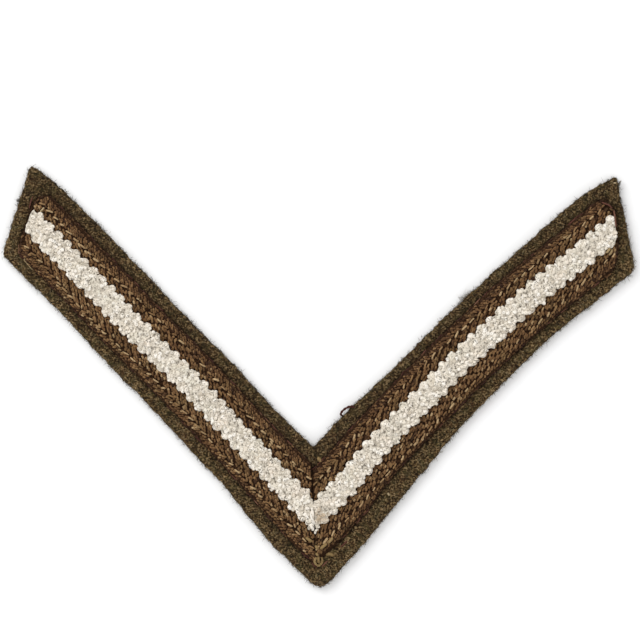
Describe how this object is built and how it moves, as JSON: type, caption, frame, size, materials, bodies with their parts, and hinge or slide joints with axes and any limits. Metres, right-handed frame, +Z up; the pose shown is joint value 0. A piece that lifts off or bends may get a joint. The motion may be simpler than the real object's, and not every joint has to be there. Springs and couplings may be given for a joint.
{
  "type": "rank chevron patch",
  "caption": "Cloth rank chevron for a sleeve: a V of wool felt faced with mitred woven lace that has a raised off-white stripe with scalloped edges.",
  "frame": {"origin": "bottom centre of the patch's box, on the surface that it lies on", "axes": "+Z up, out of the face of the patch; +X to the right and +Y towards the arms' free ends, so that the point is towards -Y"},
  "size_m": [0.123, 0.082, 0.0036],
  "materials": {
    "felt": "napped olive-khaki wool felt with soft cut edges",
    "lace": "brown worsted herringbone weave with a lighter tan rib",
    "stripe": "knobbly off-white cotton in soft knots laid like bricks",
    "thread": "dark reddish-brown sewing thread"
  },
  "bodies": {
    "root": {"backing": "felt", "left_lace": "lace", "right_lace": "lace", "left_stripe": "stripe", "right_stripe": "stripe"}
  },
  "joints": []
}
